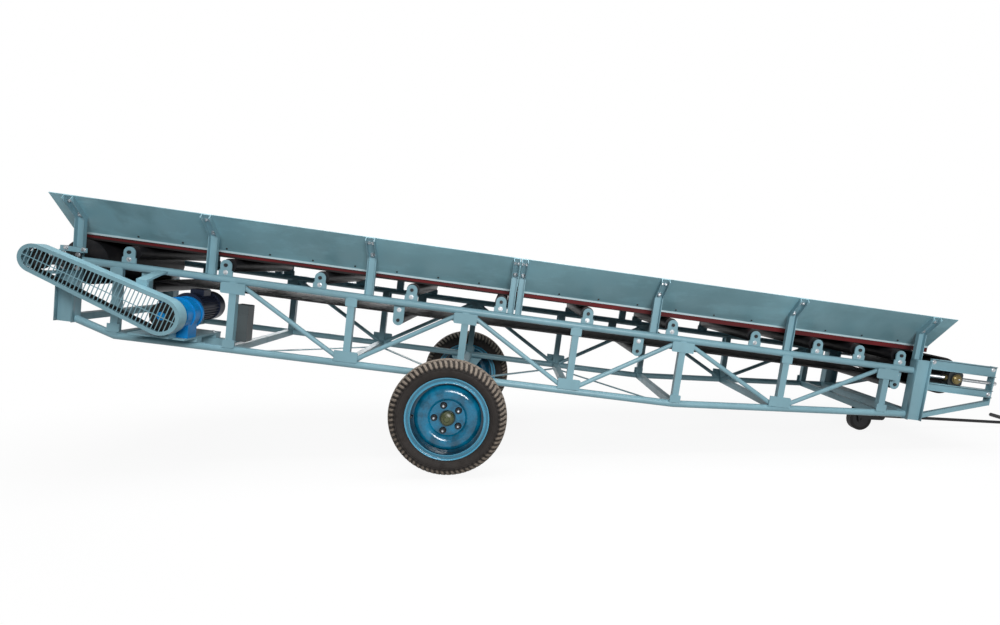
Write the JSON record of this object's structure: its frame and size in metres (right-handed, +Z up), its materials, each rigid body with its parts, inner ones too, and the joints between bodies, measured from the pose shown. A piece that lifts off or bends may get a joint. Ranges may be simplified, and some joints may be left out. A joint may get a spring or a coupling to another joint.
{
  "type": "portable belt conveyor",
  "caption": "Wheeled loading conveyor: pipe trusses carry a flat belt between flared side boards, with a chain drive at the head and a steered tail wheel with a pull bar.",
  "frame": {"origin": "On the ground under the middle of the bounding box.", "axes": "+X runs from the head drum to the pull bar, +Y from the drive side to the far side, +Z up."},
  "size_m": [6.341, 1.66, 1.5625],
  "materials": {
    "frame_paint": "semi-gloss",
    "board_paint": "satin",
    "strip_rubber": "matte",
    "belt_rubber": "matte",
    "dark_steel": "satin",
    "bare_steel": "dull",
    "bearing_iron": "matte",
    "reducer_paint": "semi-gloss",
    "motor_paint": "semi-gloss",
    "box_paint": "satin",
    "rim_paint": "satin",
    "hub_paint": "matte",
    "tyre": "matte",
    "solid_tyre": "matte",
    "bar_paint": "satin"
  },
  "bodies": {
    "frame": {"near_chords": "frame_paint", "far_chords": "frame_paint", "near_verticals": "frame_paint", "far_verticals": "frame_paint", "near_diagonals": "frame_paint", "far_diagonals": "frame_paint", "near_gussets": "frame_paint", "far_gussets": "frame_paint", "cross_members": "frame_paint", "plan_braces": "frame_paint", "head_posts": "frame_paint", "tail_posts": "frame_paint", "take_up_frames": "frame_paint", "near_board_posts": "frame_paint", "far_board_posts": "frame_paint", "near_side_boards": "board_paint", "far_side_boards": "board_paint", "skirt_rubbers": "strip_rubber", "belt": "belt_rubber", "head_drum": "dark_steel", "tail_drum": "dark_steel", "head_bearings": "bearing_iron", "take_up_blocks": "bearing_iron", "take_up_screws": "bare_steel", "carrying_rollers": "dark_steel", "return_rollers": "dark_steel", "carrying_brackets": "frame_paint", "return_hangers": "frame_paint", "gear_reducer": "reducer_paint", "motor": "motor_paint", "drive_base": "frame_paint", "drive_chain": "bare_steel", "sprockets": "bare_steel", "guard_shell": "frame_paint", "guard_grille": "frame_paint", "control_box": "box_paint", "road_axle": "frame_paint", "axle_pedestals": "frame_paint", "tail_beam": "frame_paint"},
    "near_wheel": {"near_tyre": "tyre", "near_rim": "rim_paint", "near_hub": "hub_paint"},
    "far_wheel": {"far_tyre": "tyre", "far_rim": "rim_paint", "far_hub": "hub_paint"},
    "tail_fork": {"tail_fork": "bar_paint"},
    "tail_wheel": {"tail_tyre": "solid_tyre", "tail_core": "bar_paint"},
    "pull_bar": {"pull_bar": "bar_paint"}
  },
  "joints": [
    {"name": "near_wheel_spin", "type": "hinge", "parent": "frame", "child": "near_wheel", "pos_m": [-0.95866, -0.754, 0.33], "axis": [0, 1, 0], "continuous": true},
    {"name": "far_wheel_spin", "type": "hinge", "parent": "frame", "child": "far_wheel", "pos_m": [-0.95866, 0.754, 0.33], "axis": [0, 1, 0], "continuous": true},
    {"name": "tail_swivel", "type": "hinge", "parent": "frame", "child": "tail_fork", "pos_m": [1.90335, 0, 0.18], "axis": [0, 0, 1], "range_deg": [-35, 35]},
    {"name": "tail_wheel_spin", "type": "hinge", "parent": "tail_fork", "child": "tail_wheel", "pos_m": [1.90335, 0, 0.08], "axis": [0, 1, 0], "continuous": true},
    {"name": "pull_bar_lift", "type": "hinge", "parent": "tail_fork", "child": "pull_bar", "pos_m": [2.05335, 0, 0.096], "axis": [0, -1, 0], "range_deg": [0, 40]}
  ]
}
